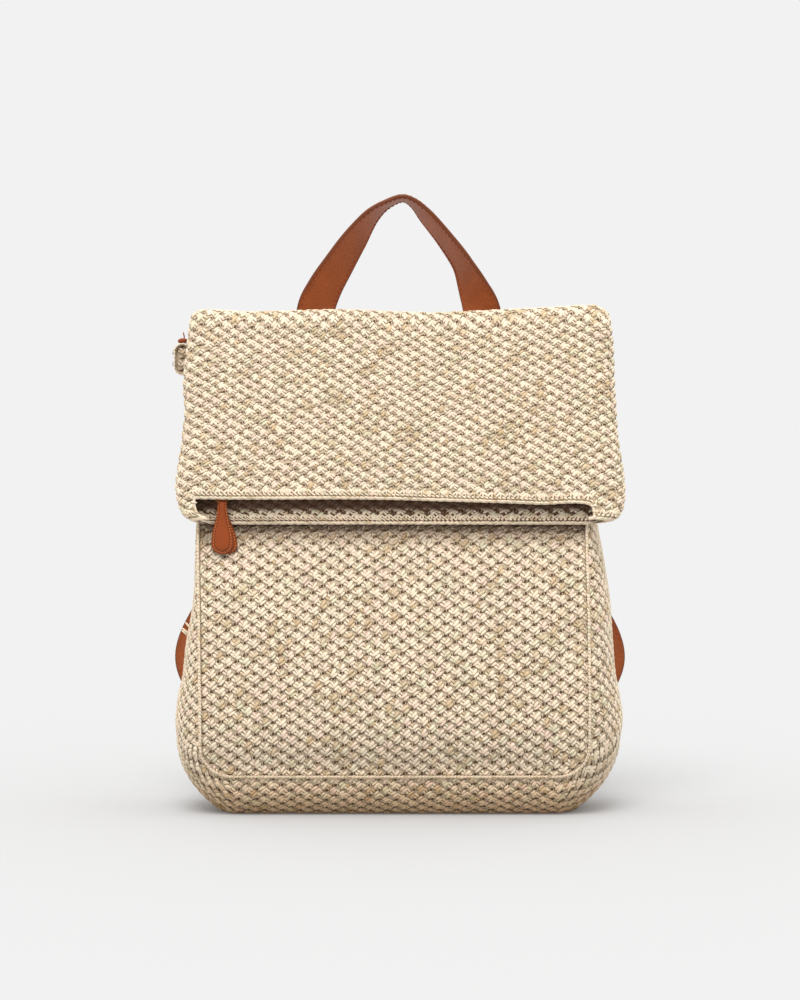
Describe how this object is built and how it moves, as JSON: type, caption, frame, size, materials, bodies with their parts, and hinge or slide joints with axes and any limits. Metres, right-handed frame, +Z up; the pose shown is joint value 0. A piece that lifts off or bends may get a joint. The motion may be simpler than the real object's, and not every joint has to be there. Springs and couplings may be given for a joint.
{
  "type": "foldover backpack of woven straw with leather handle and straps",
  "caption": "Soft backpack of cream woven straw whose flattened top folds down over the front, with a tan leather handle, shoulder straps and teardrop zip pull.",
  "frame": {"origin": "middle of the bag's flat underside, at floor level", "axes": "+Z up, -Y towards the front over which the top folds, +X to the right seen from the front"},
  "size_m": [0.3112, 0.1383, 0.4111],
  "materials": {
    "straw": "woven natural straw, dry and slightly glossy on each strand",
    "leather": "tan leather with a fine grain, satin",
    "zip_cloth": "woven zip tape, matt",
    "zip_metal": "cast slider, satin"
  },
  "bodies": {
    "root": {"front_panel": "straw", "back_panel": "straw", "gusset": "straw", "folded_top": "straw", "front_welt": "straw", "zip_tape": "zip_cloth", "zip_slider": "zip_metal", "zip_pull_back": "leather", "zip_pull_front": "leather", "zip_pull_pad": "leather", "handle": "leather", "strap_left": "leather", "strap_right": "leather", "side_tab": "straw", "tab_trim": "leather"}
  },
  "joints": []
}
